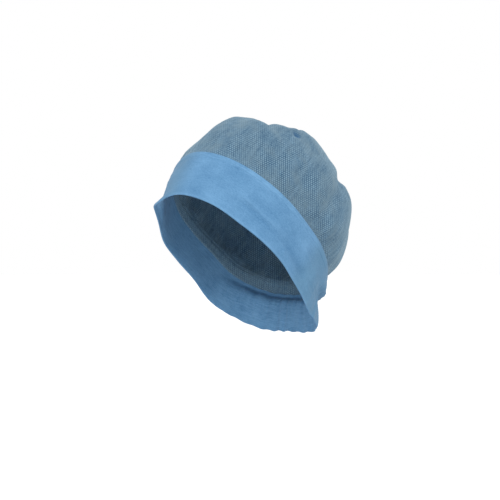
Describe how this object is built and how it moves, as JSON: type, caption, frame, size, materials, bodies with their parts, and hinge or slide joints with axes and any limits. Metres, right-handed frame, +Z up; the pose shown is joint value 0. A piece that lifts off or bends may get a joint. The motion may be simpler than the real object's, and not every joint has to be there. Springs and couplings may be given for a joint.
{
  "type": "disposable surgical cap",
  "caption": "Worn disposable surgical cap: loose net crown gathered into a wide smooth folded headband, low at the nape, open underneath for the head.",
  "frame": {"origin": "where the top of the head seats: on the inside of the crown, straight above the crown's centre", "axes": "+Z up as worn, -Y forward at the brow, +X to the wearer's left; the cap hangs below the origin"},
  "size_m": [0.1725, 0.2115, 0.2231],
  "materials": {
    "crown_net": "grey-blue embossed non-woven with a fine diamond net, matt",
    "band_nonwoven": "sky-blue smooth folded non-woven, matt with a faint sheen"
  },
  "bodies": {
    "root": {"crown": "crown_net", "headband": "band_nonwoven"}
  },
  "joints": []
}
